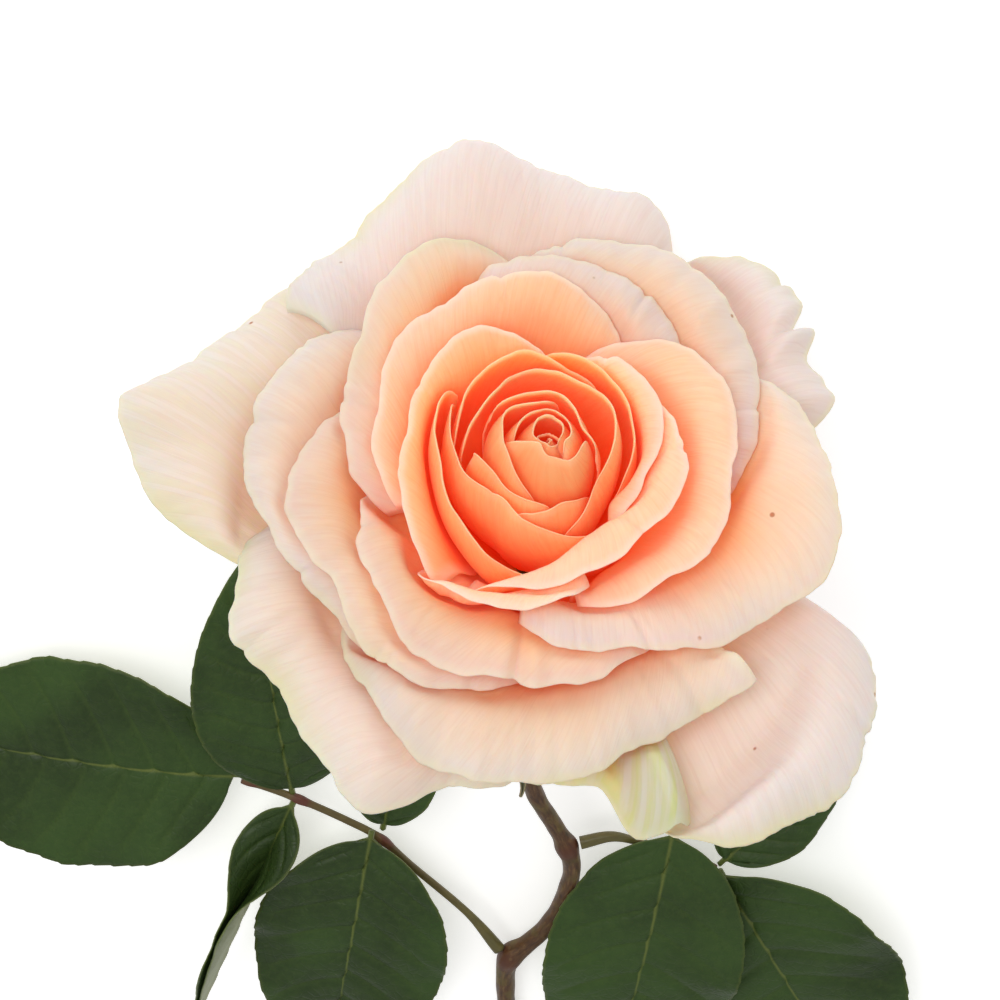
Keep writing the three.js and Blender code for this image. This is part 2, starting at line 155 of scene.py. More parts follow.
def sheet_piece(name, grid, thickness, values, material):
    """A thin closed solid round a grid of points; values gain outer, 1 on the front face."""
    rows, columns = grid.shape[:2]
    offset = grid_normals(grid) * (thickness / 2)[..., None]
    points = np.concatenate([(grid + offset).reshape(-1, 3), (grid - offset).reshape(-1, 3)])
    both = {"outer": np.repeat([1.0, 0.0], rows * columns)}
    for key, numbers in values.items():
        both[key] = np.tile(np.broadcast_to(numbers, (rows, columns)).ravel(), 2)
    make_piece(name, points, sheet_faces(rows, columns), both, material)


# --- Petals ---
# How far open the petals laid so far are, over a grid of turn and reach.
TURN_STEP = 3.0
REACH_STEP = 1.0
TURN_CELLS = 120
REACH_CELLS = 82
SLOPE_PER_TURN_CELL = 1.0
SLOPE_PER_REACH_CELL = 1.3
RELAX_PASSES = 24
filled = np.zeros((TURN_CELLS, REACH_CELLS))


def cells_of(turn, reach):
    t = (turn % 360) / TURN_STEP
    r = np.clip(reach / REACH_STEP, 0, REACH_CELLS - 1.001)
    return t, r


def filled_opening(turn, reach):
    t, r = cells_of(turn, reach)
    i, j = np.floor(t).astype(int), np.floor(r).astype(int)
    across, up = t - i, r - j
    i, following = i % TURN_CELLS, (i + 1) % TURN_CELLS
    low = filled[i, j] * (1 - across) + filled[following, j] * across
    high = filled[i, j + 1] * (1 - across) + filled[following, j + 1] * across
    return low + (high - low) * up


def fill_petal(turn, opening, reach):
    """Writes a petal into the grid, which then slopes away from the petal's edges."""
    t, r = cells_of(turn, reach)
    j = np.floor(r).astype(int)
    for i in (np.floor(t).astype(int), np.ceil(t).astype(int)):
        for k in (j, j + 1):
            np.maximum.at(filled, (i % TURN_CELLS, k), opening)
    for _ in range(RELAX_PASSES):
        beside = np.maximum(np.roll(filled, 1, 0), np.roll(filled, -1, 0)) - SLOPE_PER_TURN_CELL
        above = np.pad(filled, ((0, 0), (1, 1)), mode="edge")
        above = np.maximum(above[:, :-2], above[:, 2:]) - SLOPE_PER_REACH_CELL
        np.maximum(filled, np.maximum(beside, above), out=filled)


def blurred(field):
    """The field averaged with its neighbours, its edges kept as they are."""
    padded = np.pad(field, 1, mode="edge")
    return (
        4 * field
        + padded[:-2, 1:-1]
        + padded[2:, 1:-1]
        + padded[1:-1, :-2]
        + padded[1:-1, 2:]
    ) / 8


CONTACT_SOFTNESS = 1.5  # degrees over which a petal eases away from the one inside it
BLUR_PASSES = 16


def rest_on_filled(turn, wanted, reach, gap_below):
    """The petal's opening, eased outwards wherever a petal inside it is in its way."""
    inside = filled_opening(turn, reach)
    free = np.where(inside > 0, inside + np.degrees(gap_below / reach), 0.0)
    gap = wanted - free
    needed = np.where(inside > 0, (np.sqrt(gap**2 + CONTACT_SOFTNESS**2) - gap) / 2, 0.0)
    pushed = needed
    for _ in range(BLUR_PASSES):
        pushed = np.maximum(needed, blurred(pushed))
    return wanted + pushed


COLUMN_WIDTH = 0.6  # millimetres along the rim
MIN_COLUMNS = 44
PETAL_ROWS = 46
ROW_CROWDING = 1.35  # above 1, rows of points lie closer towards the rim
ROLL_ANGLE = math.radians(80)  # how far a petal's rim turns outwards
FOOT_THICKNESS = 0.42
RIM_THICKNESS = 0.2
THIN_RIM_WIDTH = 9  # millimetres from the rim over which a petal thins
FOOT_SPREAD = 0.45  # of the petal's full width, at its foot
TEAR_SPACING = 22  # millimetres of fully ruffled rim for each short tear
TEAR_HALF_WIDTH = 0.6
CORNER_SHARPNESS = 14  # the power of the curve that rounds a petal's corners


def petal_rim(spec, across, rim_length, rng):
    """The reach of a petal's rim: its smooth outline with waves, short tears, nicks and corners."""
    place = across * rim_length
    ruffle = spec["ruffle"]
    reach = along(spec["reach"], across)
    reach = reach + ruffle * waves(rng, place, (27, 12, 5, 2.6), (0.4, 0.22, 0.13, 0.08))
    for _ in range(round(rim_length * ruffle / TEAR_SPACING)):
        centre = rng.uniform(0.08, 0.92) * rim_length
        depth = rng.uniform(0.2, 0.7)
        reach = reach - depth * np.exp(-(((place - centre) / TEAR_HALF_WIDTH) ** 2))
    for centre, depth, half_width in spec["nicks"]:
        reach = reach - depth * np.exp(-(((across - centre) / half_width) ** 2))
    return reach - spec["corner"] * np.abs(2 * across - 1) ** CORNER_SHARPNESS


def rolled_profile(rim_reach, flare, up):
    """Along its length a petal is straight, then its rim turns outwards on a round arc. Gives its
    reach, how far it lies sideways of a straight petal, and the distance back from its rim."""
    shift = np.maximum(flare, 0.5) * np.radians(1) * rim_reach
    arc = shift * ROLL_ANGLE / (1 - math.cos(ROLL_ANGLE))
    arc_reach = arc * math.sin(ROLL_ANGLE) / ROLL_ANGLE
    straight = rim_reach - arc_reach - PETAL_FOOT
    back = (arc + straight) * (1 - up)
    turned_by = ROLL_ANGLE * np.clip(1 - back / arc, 0, 1)
    sideways = arc / ROLL_ANGLE * (np.cos(turned_by) - math.cos(ROLL_ANGLE))
    inwards = arc / ROLL_ANGLE * (math.sin(ROLL_ANGLE) - np.sin(turned_by))
    return rim_reach - inwards - np.maximum(back - arc, 0), sideways, back


def petal_place(spec, rng):
    """The petal's turn, opening and reach over its grid, and the values its material reads."""
    width = spec["turns"][1] - spec["turns"][0]
    mean_reach = float(np.mean(spec["reach"]))
    mean_opening = math.radians(max(float(np.mean(spec["opening"])), 7))
    rim_length = mean_reach * math.sin(mean_opening) * math.radians(width)
    columns = max(MIN_COLUMNS, round(rim_length / COLUMN_WIDTH))
    across = np.linspace(0, 1, columns + 1)[None, :]
    up = 1 - (1 - np.linspace(0, 1, PETAL_ROWS + 1)[:, None]) ** ROW_CROWDING
    rim_reach = petal_rim(spec, across, rim_length, rng)
    reach, sideways, back = rolled_profile(rim_reach, spec["flare"], up)

    spread = FOOT_SPREAD + (1 - FOOT_SPREAD) * np.sin(np.pi / 2 * np.minimum(1, up * 1.5))
    middle = (spec["turns"][0] + spec["turns"][1]) / 2
    turn = middle + (2 * across - 1) * (width / 2) * spread
    wanted = along(spec["opening"], across) - np.degrees(sideways / reach)
    wanted = wanted + spec["belly"] * 4 * up * (1 - up)
    place = across * rim_length
    folds = waves(rng, place, (37, 21, 11), (0.7, 0.45, 0.15))
    flutter = waves(rng, place, (17, 9, 4.4), (0.35, 0.25, 0.08))
    wave = spec["ruffle"] * (folds * up**2 + flutter * up**7)
    wanted = wanted + wave * np.degrees(1 / mean_reach)
    for centre, depth, half_width in spec["creases"]:
        wanted = wanted + depth * up**1.5 * np.exp(-(((across - centre) / half_width) ** 2))
    opening = rest_on_filled(turn, wanted, reach, spec["gap"])

    half_breadth = reach * np.sin(np.radians(np.maximum(opening, 4))) * np.radians(width / 2)
    from_side = (1 - np.abs(2 * across - 1)) * half_breadth * spread
    values = {
        "up": up,
        "breadth": place * (0.4 + 0.6 * up),
        "rim": np.minimum(back, from_side),
        "sort": spec["sort"],
        "age": spec["age"],
        # tone is read by the petal's colour ramp; the sink shifts it, and on some petals that shift is
        # painted light and shade.
        "tone": np.clip(up - spec["colour_and_painted_light_sink"], 0, 1),
    }
    return turn, opening, reach, values


def add_petal(name, spec, material):
    rng = np.random.default_rng(spec["sort"])
    turn, opening, reach, values = petal_place(spec, rng)
    grid = flower_point(turn, opening, reach)
    inside_rim = smoothstep(values["rim"], 0, THIN_RIM_WIDTH)
    thickness = RIM_THICKNESS + (FOOT_THICKNESS - RIM_THICKNESS) * inside_rim
    sheet_piece(name, grid, thickness, values, material)
    fill_petal(turn, opening, reach)


# --- Materials ---
def linear(red, green, blue):
    """A colour from screen values of 0 to 255."""
    values = [c / 255 for c in (red, green, blue)]
    values = [c / 12.92 if c <= 0.04045 else ((c + 0.055) / 1.055) ** 2.4 for c in values]
    return (*values, 1.0)


class Graph:
    """A new material with one Principled shader, and short ways to add nodes in front of it."""

    def __init__(self, name):
        self.material = bpy.data.materials.new(name)
        self.material.use_nodes = True
        self.tree = self.material.node_tree
        self.shader = self.tree.nodes["Principled BSDF"]

    def node(self, kind, inputs=None, **settings):
        node = self.tree.nodes.new("ShaderNode" + kind)
        for key, value in settings.items():
            setattr(node, key, value)
        for key, value in (inputs or {}).items():
            self.plug(node.inputs[key], value)
        return node

    def plug(self, socket, value):
        if isinstance(value, bpy.types.NodeSocket):
            self.tree.links.new(value, socket)
        else:
            socket.default_value = value

    def surface(self, **values):
        """Sets the shader's sockets; an underscore in a name stands for a space."""
        for key, value in values.items():
            self.plug(self.shader.inputs[key.replace("_", " ")], value)

    def value(self, name):
        return self.node("Attribute", attribute_name=name).outputs["Fac"]

    def maths(self, operation, *values):
        inputs = dict(enumerate(values))
        return self.node("Math", inputs, operation=operation).outputs[0]

    def times(self, a, b):
        return self.maths("MULTIPLY", a, b)

    def plus(self, a, b):
        return self.maths("ADD", a, b)

    def between(self, value, low, high, to_low=0.0, to_high=1.0):
        """value taken smoothly from low..high to to_low..to_high, and held there."""
        inputs = {"Value": value, 1: low, 2: high, 3: to_low, 4: to_high}
        return self.node("MapRange", inputs, interpolation_type="SMOOTHSTEP").outputs[0]

    def vector(self, x, y, z):
        return self.node("CombineXYZ", {0: x, 1: y, 2: z}).outputs[0]

    def place(self):
        return self.node("TexCoord").outputs["Object"]

    def noise(self, vector, scale, detail=3.0, roughness=0.5, distortion=0.0):
        inputs = {
            "Vector": vector,
            "Scale": scale,
            "Detail": detail,
            "Roughness": roughness,
            "Distortion": distortion,
        }
        return self.node("TexNoise", inputs).outputs[0]

    def blend(self, factor, a, b, kind="MIX"):
        mix = self.node("Mix", {0: factor, 6: a, 7: b}, data_type="RGBA", blend_type=kind)
        return mix.outputs[2]

    def ramp(self, value, stops):
        node = self.node("ValToRGB", {0: value})
        elements = node.color_ramp.elements
        while len(elements) < len(stops):
            elements.new(0.5)
        for element, (position, colour) in zip(elements, stops):
            element.position = position
            element.color = colour
        return node.outputs[0]

    def bump(self, height, strength, distance):
        inputs = {"Height": height, "Strength": strength, "Distance": distance}
        return self.node("Bump", inputs).outputs[0]


DEEP_ORANGE = linear(255, 135, 50)
# Painted light: the orange of the petals' glow, an emission that stands in for light let through them.
PAINTED_GLOW_ORANGE = linear(255, 98, 30)
GREEN_TINT = linear(206, 202, 128)
SPECK_BROWN = linear(150, 92, 48)


def petal_material(name, deep, painted_glow, foot, body, upper, edge, blush, green, specks):
    """A petal: its colour runs from foot to rim, with veins, a pale edge, tints and tiny specks.
    deep is how far up the petal the colour of its foot reaches. The glow is painted light: an
    orange emission that stands in for the light the petal lets through."""
    g = Graph(name)
    up, rim, breadth, sort = (g.value(key) for key in ("up", "rim", "breadth", "sort"))
    place = g.place()
    cloud = g.noise(place, 55.0, 2.0)
    colour = g.ramp(g.value("tone"), [(deep, foot), ((deep + 1) / 2, body), (0.96, upper)])
    colour = g.blend(g.between(cloud, 0.35, 0.7, 0.0, 0.4), colour, blush)

    # Veins fan out from the foot: noise drawn long along the petal, thin where it crosses its middle.
    stretched = g.vector(g.times(breadth, 0.75), g.times(up, 2.4), sort)
    streaks = g.noise(stretched, 1.0, 3.0, 0.55, 0.25)
    vein = g.between(g.maths("ABSOLUTE", g.maths("SUBTRACT", streaks, 0.5)), 0.0, 0.06, 1.0, 0.0)
    fine = g.noise(g.vector(g.times(breadth, 2.6), g.times(up, 5.0), sort), 1.0, 2.0)
    colour = g.blend(g.times(vein, 0.09), colour, blush, "MULTIPLY")
    colour = g.blend(g.between(fine, 0.3, 0.7, 0.09, 0.0), colour, blush, "MULTIPLY")

    aged = g.times(g.value("age"), g.between(streaks, 0.4, 0.62, 0.35, 1.0))
    colour = g.blend(aged, colour, GREEN_TINT)

    # The rim is thin and pale, and yellow-green in patches on the outer petals.
    colour = g.blend(g.between(rim, 0.2, 2.2, 0.75, 0.0), colour, edge)
    patches = g.between(g.noise(place, 38.0, 2.0, 0.5), 0.5, 0.66)
    near_rim = g.between(rim, 0.5, 6.0, 1.0, 0.0)
    colour = g.blend(g.times(g.times(patches, near_rim), green), colour, GREEN_TINT)

    spots = g.node("TexVoronoi", {"Vector": place, "Scale": 210.0}, feature="F1").outputs
    dot = g.between(spots["Distance"], 0.05, 0.11, 1.0, 0.0)
    rare = g.between(g.noise(place, 90.0, 1.0), 0.62, 0.68)
    colour = g.blend(g.times(g.times(dot, rare), specks), colour, SPECK_BROWN)

    crinkle = g.noise(place, 900.0, 3.0, 0.6)
    height = g.plus(g.times(vein, -0.5), g.times(crinkle, 0.5))
    height = g.plus(height, g.times(fine, 0.5))
    g.surface(
        Base_Color=colour,
        Roughness=g.between(crinkle, 0.3, 0.7, 0.5, 0.64),
        Normal=g.bump(height, 0.16, 0.0003),
        Subsurface_Weight=0.6,
        Subsurface_Radius=(1.0, 0.42, 0.22),
        Subsurface_Scale=0.003,
        Sheen_Weight=0.05,
        Sheen_Roughness=0.4,
        Specular_IOR_Level=0.25,
        # Painted light: a constant orange emission makes the petal glow, standing in for the light it
        # lets through.
        Emission_Color=PAINTED_GLOW_ORANGE,
        Emission_Strength=painted_glow,
    )
    return g.material


# Each look's glow is painted light, the strength of its orange emission.
petal_looks = {
    "heart": petal_material(
        "petal_heart",
        deep=0.38,
        painted_glow=0.04,
        foot=DEEP_ORANGE,
        body=linear(255, 160, 92),
        upper=linear(255, 184, 128),
        edge=linear(255, 206, 160),
        blush=linear(255, 154, 98),
        green=0.0,
        specks=0.3,
    ),
    "inner": petal_material(
        "petal_inner",
        deep=0.38,
        painted_glow=0.05,
        foot=DEEP_ORANGE,
        body=linear(255, 174, 116),
        upper=linear(253, 210, 176),
        edge=linear(250, 224, 196),
        blush=linear(253, 180, 134),
        green=0.15,
        specks=0.5,
    ),
    "middle": petal_material(
        "petal_middle",
        deep=0.36,
        painted_glow=0.03,
        foot=DEEP_ORANGE,
        body=linear(251, 184, 138),
        upper=linear(238, 213, 200),
        edge=linear(240, 220, 190),
        blush=linear(240, 204, 188),
        green=0.3,
        specks=0.8,
    ),
    "guard": petal_material(
        "petal_guard",
        deep=0.1,
        painted_glow=0.0,
        foot=linear(244, 184, 146),
        body=linear(228, 206, 197),
        upper=linear(224, 211, 210),
        edge=linear(226, 214, 190),
        blush=linear(228, 202, 196),
        green=0.3,
        specks=1.0,
    ),
}

# --- The petals' sizes ---
# From the heart outwards. Turns in degrees, openings in degrees and reaches in millimetres, both
# evenly spaced along the rim. creases bend a petal outwards and nicks cut its rim back, each given
# as a place along the rim from 0 to 1, a size in degrees or millimetres, and a half width. sink is
# how much further up the petal the colours of its foot reach; on some petals it is painted light
# and shade: on inner_2 it deepens the colour as painted shade for the cavity it lies in, and on
# inner_3 and inner_4 it pales the colour as painted light where the light falls on them. age is
# how green and faded a petal is. corner is how many millimetres its two corners are rounded by.
heart_petals = {
    "heart_1": dict(
        turns=(-60, 840),
        opening=[2.4, 3.1, 2.9, 2.6, 2.3, 2, 1.7, 1.4, 1.1, 0.8, 0.5],
        reach=[45.5, 46, 46, 45, 44, 43.5, 43.5, 44, 44, 44, 44.5],
    ),
    "heart_2": dict(
        turns=(-52, 185),
        opening=[2.9, 3.3, 3, 4.4, 5.9],
        reach=[45.5, 46, 46, 46, 45.5],
    ),
    "heart_3": dict(
        turns=(181, 367),
        opening=[7.6, 1.5, 3.6, 5.2, 5.9],
        reach=[45, 45.3, 44.3, 44.2, 46],
    ),
    "heart_4": dict(
        turns=(75, 267),
        opening=[3.3, 6.2, 9.5, 7.8, 8.8, 10.5],
        reach=[46.5, 46.5, 46.2, 44.5, 42.3, 38],
    ),
    "heart_5": dict(
        turns=(-10, 155),
        opening=[6.1, 5.3, 7, 8.3, 10.2],
        reach=[45, 46.5, 47, 46.5, 46.2],
    ),
    "heart_6": dict(
        turns=(186, 281),
        opening=[15.2, 12.1, 12, 12, 12.6],
        reach=[44, 43, 42, 41, 39],
    ),
    "heart_7": dict(turns=(242, 335), opening=[14, 12.9, 12.6, 12.4], reach=[40, 40, 39, 35]),
    "heart_8": dict(
        turns=(-81, 187),
        opening=[17, 12.9, 12.5, 13.9, 12.1, 13.6, 13.2, 17],
        reach=[36, 38.3, 45, 46.5, 47, 47, 46, 43],
    ),
    "heart_9": dict(
        turns=(40, 185),
        opening=[16, 15.5, 16.7, 18.6, 17.6],
        reach=[43, 45.5, 49, 46, 41.5],
    ),
    "heart_10": dict(
        turns=(152, 322),
        opening=[19, 18, 15.2, 17.5, 22.5],
        reach=[46, 43.5, 42, 39, 36.5],
    ),
    "heart_11": dict(turns=(-20, 110), opening=[17, 18, 18, 18, 18], reach=[40, 44, 46, 47, 44]),
    "heart_12": dict(
        turns=(145, 278),
        opening=[22.6, 22, 22, 23.5, 27, 29],
        reach=[46, 46, 44.5, 42, 38.5, 36],
    ),
}
inner_petals = {
    "inner_1": dict(turns=(-45, 82), opening=[22, 21, 22, 24, 23], reach=[40, 43, 46, 47, 43]),
    "inner_2": dict(
        turns=(85, 233),
        opening=[23, 27, 28, 28, 31, 37],
        reach=[42, 48, 47, 46, 44, 42],
        # Painted shade: a deeper colour for the shade down in the cavity.
        colour_and_painted_light_sink=0.14,
    ),
    "inner_3": dict(
        turns=(240, 405),
        opening=[31, 29, 27, 26, 25, 23],
        reach=[42, 44, 46.5, 47.5, 47, 43],
        flare=10,
        # Painted light: a paler colour where the light falls on this petal.
        colour_and_painted_light_sink=-0.36,
    ),
    "inner_4": dict(
        turns=(223, 292),
        opening=[38, 36, 34, 32, 30],
        reach=[42, 45, 46, 46, 43],
        # Painted light: a paler colour where the light falls on this petal.
        colour_and_painted_light_sink=-0.45,
    ),
    "inner_5": dict(
        turns=(-75, 78),
        opening=[34, 35, 36, 36, 30],
        reach=[44, 49, 49, 50, 42],
        colour_and_painted_light_sink=-0.1,
    ),
    "inner_6": dict(turns=(58, 197), opening=[34, 36, 36, 36, 36], reach=[44, 52, 51, 46, 42]),
}
middle_petals = {
    "middle_1": dict(turns=(40, 112), opening=[39, 41, 42, 42, 42], reach=[46, 50, 53, 53, 52]),
    "middle_2": dict(
        turns=(98, 194),
        opening=[45, 46, 45, 43, 42, 40],
        reach=[53, 57.5, 54, 49, 45, 40],
        colour_and_painted_light_sink=0.1,
    ),
    "middle_3": dict(turns=(-4, 100), opening=[42, 44, 48, 48, 46], reach=[44, 50, 56, 57, 52]),
    "middle_4": dict(
        turns=(-96, 36),
        opening=[37, 42, 48, 51, 49, 46],
        reach=[46, 49.5, 52, 58, 56.5, 51],
    ),
    "middle_5": dict(
        turns=(186, 306),
        opening=[39, 43, 46, 47, 46, 45],
        reach=[42, 45, 48, 49, 50, 45],
        nicks=[(0.66, 1.8, 0.012), (0.69, -0.8, 0.02)],
        colour_and_painted_light_sink=0.12,
    ),
    "middle_6": dict(
        turns=(156, 270),
        opening=[46, 49, 50, 51, 50],
        reach=[45, 50, 49, 50, 44],
        colour_and_painted_light_sink=0.1,
    ),
    "middle_7": dict(turns=(133, 234), opening=[51, 54, 55, 54, 55], reach=[48, 55, 54, 49, 44]),
    "middle_8": dict(
        turns=(217, 315),
        opening=[55, 58, 60, 59, 57, 53],
        reach=[43, 52, 57, 56, 54, 57],
        corner=0.5,
    ),
}
guard_petals = {
    "guard_1": dict(
        turns=(184, 274),
        opening=[63, 65, 66, 67, 65],
        reach=[45, 51.3, 54, 57, 55.2, 56.3, 60.6, 63, 53.8, 50, 45],
        colour_and_painted_light_sink=0.35,
    ),
    "guard_2": dict(
        turns=(64, 144),
        opening=[61, 61, 61, 61, 61],
        reach=[56, 63.5, 64.3, 65.5, 68, 71.6, 68.4, 63.8, 61, 61.5, 61],
    ),
    "guard_3": dict(
        turns=(264, 297),
        opening=[66, 67, 66, 66],
        reach=[44, 47, 48, 48, 49, 52, 60, 63, 60],
        creases=[(0.7, 5, 0.06), (0.86, -3, 0.05)],
        age=0.8,
    ),
    "guard_4": dict(
        turns=(131, 197),
        opening=[67, 68, 69, 69, 67],
        reach=[56, 60.5, 61, 61.5, 63.5, 68, 72, 66.5, 61.5, 56, 48],
        age=0.22,
    ),
    "guard_5": dict(
        turns=(18, 68),
        opening=[60, 60, 60, 60, 60],
        reach=[46, 56, 57, 57.6, 61.5, 62.5, 62.8, 62.3, 61.2, 58.6, 54],
        nicks=[(0.42, 3.5, 0.03), (0.36, -1.5, 0.03)],
        colour_and_painted_light_sink=-0.5,
    ),
    "guard_6": dict(
        turns=(291.5, 346),
        opening=[66, 67, 67, 67, 64],
        reach=[61, 69.8, 71, 70.6, 70, 69.5, 67.5, 65, 61.5, 54, 45],
    ),
}
# belly bows a petal's middle outwards and flare turns its rim outwards, both in degrees; ruffle
# scales its waves; gap is the space in millimetres between the middles of two petals that touch.
petal_sets = [
    (heart_petals, dict(belly=9, flare=1, ruffle=0.4, gap=0.55)),
    (inner_petals, dict(belly=4, flare=6, ruffle=0.7, gap=0.7)),
    (middle_petals, dict(belly=2, flare=10, ruffle=0.9, gap=0.75)),
    (guard_petals, dict(belly=0, flare=8, ruffle=1.0, gap=0.8)),
]
plain_petal = dict(creases=[], nicks=[], age=0, colour_and_painted_light_sink=0, corner=4)
sort = 0
for petals, common in petal_sets:
    for petal_name, shape in petals.items():
        sort += 1
        petal = {**plain_petal, **common, **shape, "sort": sort}
        add_petal(f"petal_{petal_name}", petal, petal_looks[petal_name.split("_")[0]])


# --- Curves for the stem and the leaf stalks ---
def part_point(x, y, z):
    """A point given in the part's own millimetres, under the flower and from the table."""
    return part_origin + np.array([x, y, z], float)


STEPS_PER_STRETCH = 40


def smooth_path(points, count):
    """Points at even steps along a centripetal Catmull-Rom curve, and their distances."""
    points = np.array(points, float)
    points = np.concatenate([[2 * points[0] - points[1]], points, [2 * points[-1] - points[-2]]])
    pieces = []
    for p0, p1, p2, p3 in zip(points, points[1:], points[2:], points[3:]):
        steps = [max(np.linalg.norm(b - a), 1e-6) ** 0.5 for a, b in ((p0, p1), (p1, p2), (p2, p3))]
        slope1 = ((p1 - p0) / steps[0] - (p2 - p0) / (steps[0] + steps[1]) + (p2 - p1) / steps[1])
        slope2 = ((p2 - p1) / steps[1] - (p3 - p1) / (steps[1] + steps[2]) + (p3 - p2) / steps[2])
        slope1, slope2 = slope1 * steps[1], slope2 * steps[1]
        t = np.linspace(0, 1, STEPS_PER_STRETCH, endpoint=False)[:, None]
        a = 2 * p1 - 2 * p2 + slope1 + slope2
        b = -3 * p1 + 3 * p2 - 2 * slope1 - slope2
        pieces.append(p1 + t * (slope1 + t * (b + t * a)))
    dense = np.concatenate([*pieces, points[-2:-1]])
    travelled = np.concatenate([[0], np.cumsum(np.linalg.norm(np.diff(dense, axis=0), axis=1))])
    distance = np.linspace(0, travelled[-1], count)
    path = np.stack([np.interp(distance, travelled, dense[:, k]) for k in range(3)], 1)
    return path, distance


def path_frames(path):
    """Two directions square to a path and to each other, at each of its points."""
    tangent = np.gradient(path, axis=0)
    tangent /= np.linalg.norm(tangent, axis=1, keepdims=True)
    across = np.cross(tangent, upright)
    across /= np.maximum(np.linalg.norm(across, axis=1, keepdims=True), 1e-6)
    return across, np.cross(across, tangent)


def rod_faces(rings, sides):
    """The faces of a rod's wall and of its two ends, each with a ring and then a middle point."""
    wall_points = rings * sides
    end = wall_points - sides
    first_ring, last_ring = wall_points, wall_points + sides
    first_middle, last_middle = wall_points + 2 * sides, wall_points + 2 * sides + 1
    faces = []
    for i in range(rings - 1):
        for k in range(sides):
            a, b = i * sides + k, i * sides + (k + 1) % sides
            faces.append((a, a + sides, b + sides, b))
    for k in range(sides):
        following = (k + 1) % sides
        faces.append((k, following, first_ring + following, first_ring + k))
        faces.append((first_ring + k, first_ring + following, first_middle))
        faces.append((end + following, end + k, last_ring + k, last_ring + following))
        faces.append((last_ring + following, last_ring + k, last_middle))
    return faces


CAP_RING = 0.55  # of the radius, where a ring of points lies inside each flat end
CAP_RING_VALUE = 0.8


def rod_piece(name, path, radius, values, material):
    """A closed rod; radius is an array of rings by sides. values gain cap, which rises to 1
    in the middle of its last end."""
    rings, sides = radius.shape
    across, above = path_frames(path)
    angle = np.linspace(0, 2 * math.pi, sides, endpoint=False)
    around = (
        across[:, None, :] * np.cos(angle)[None, :, None]
        + above[:, None, :] * np.sin(angle)[None, :, None]
    )
    wall = path[:, None, :] + radius[..., None] * around
    first = path[0] + CAP_RING * (wall[0] - path[0])
    last = path[-1] + CAP_RING * (wall[-1] - path[-1])
    points = np.concatenate([wall.reshape(-1, 3), first, last, path[:1], path[-1:]])
    all_values = {"cap": np.zeros(len(points))}
    all_values["cap"][-2 - sides : -2] = CAP_RING_VALUE
    all_values["cap"][-1] = 1.0
    for key, numbers in values.items():
        ringed = np.broadcast_to(np.asarray(numbers, float).reshape(rings, -1), (rings, sides))
        ends = [np.full(sides, ringed[0, 0]), np.full(sides, ringed[-1, 0]), ringed[[0, -1], 0]]
        all_values[key] = np.concatenate([ringed.ravel(), *ends])
    make_piece(name, points, rod_faces(rings, sides), all_values, material)


# --- The stem with its hip ---
STEM_RADIUS = 1.8
NECK_RADIUS = 1.5
RECEPTACLE_RADIUS = 6.9
HIP_END = 21.0
LEAF_NODES = (82.0, 117.0)
NODE_SWELLING = 0.6
NODE_HALF_LENGTH = 2.6
STEM_SIDES = 32
STEM_POINTS = 420
TAPER_START = 60  # distances from the flower over which the neck widens to the stem
TAPER_END = 130
STEM_DARK = linear(58, 37, 22)
STEM_BROWN = linear(88, 60, 34)
STEM_TAN = linear(116, 90, 54)
STEM_OLIVE = linear(104, 96, 46)
NODE_RED = linear(84, 44, 26)
HIP_GREEN = linear(98, 122, 62)
PITH = linear(206, 208, 164)


def stem_material():
    g = Graph("stem")
    distance, node = g.value("distance"), g.value("node")
    place = g.place()
    grain = g.noise(g.vector(g.value("around"), g.times(distance, 0.12), 0.0), 3.0, 4.0, 0.6)
    mottle = g.noise(place, 260.0, 3.0)
    colour = g.ramp(grain, [(0.3, STEM_DARK), (0.55, STEM_BROWN), (0.75, STEM_TAN)])
    colour = g.blend(g.between(mottle, 0.45, 0.7, 0.0, 0.5), colour, STEM_OLIVE)
    colour = g.blend(g.between(node, 0.25, 1.0, 0.0, 0.75), colour, NODE_RED)
    colour = g.blend(g.between(distance, 14.0, 30.0, 0.95, 0.0), colour, HIP_GREEN)
    lenticel = g.node("TexVoronoi", {"Vector": place, "Scale": 420.0}).outputs["Distance"]
    colour = g.blend(g.between(lenticel, 0.1, 0.2, 0.35, 0.0), colour, STEM_TAN)
    colour = g.blend(g.between(g.value("cap"), 0.2, 0.75), colour, PITH)
    height = g.plus(grain, g.times(mottle, 0.5))
    g.surface(
        Base_Color=colour,
        Roughness=g.between(mottle, 0.3, 0.7, 0.42, 0.6),
        Normal=g.bump(height, 0.5, 0.0004),
        Specular_IOR_Level=0.4,
    )
    return g.material


stem_points = [
    flower_point(0, 0, RECEPTACLE_RADIUS),
    flower_point(0, 180, 17),
    part_point(-0.5, -34, 23.2),
    part_point(1.7, -53.6, 18.6),
    part_point(5.5, -64, 15),
    part_point(7.9, -70.1, 13.5),
    part_point(8.9, -75.9, 12),
    part_point(7.8, -83.3, 10.3),
    part_point(4.7, -91.7, 8.5),
    part_point(0.8, -97.2, 7.2),
    part_point(-2.3, -101, 6.3),
    part_point(-3.1, -110, 4.6),
    part_point(0, -140, STEM_RADIUS + 0.1),
    part_point(3, -175, STEM_RADIUS + 0.1),
    part_point(0, -212, STEM_RADIUS + 0.1),
]


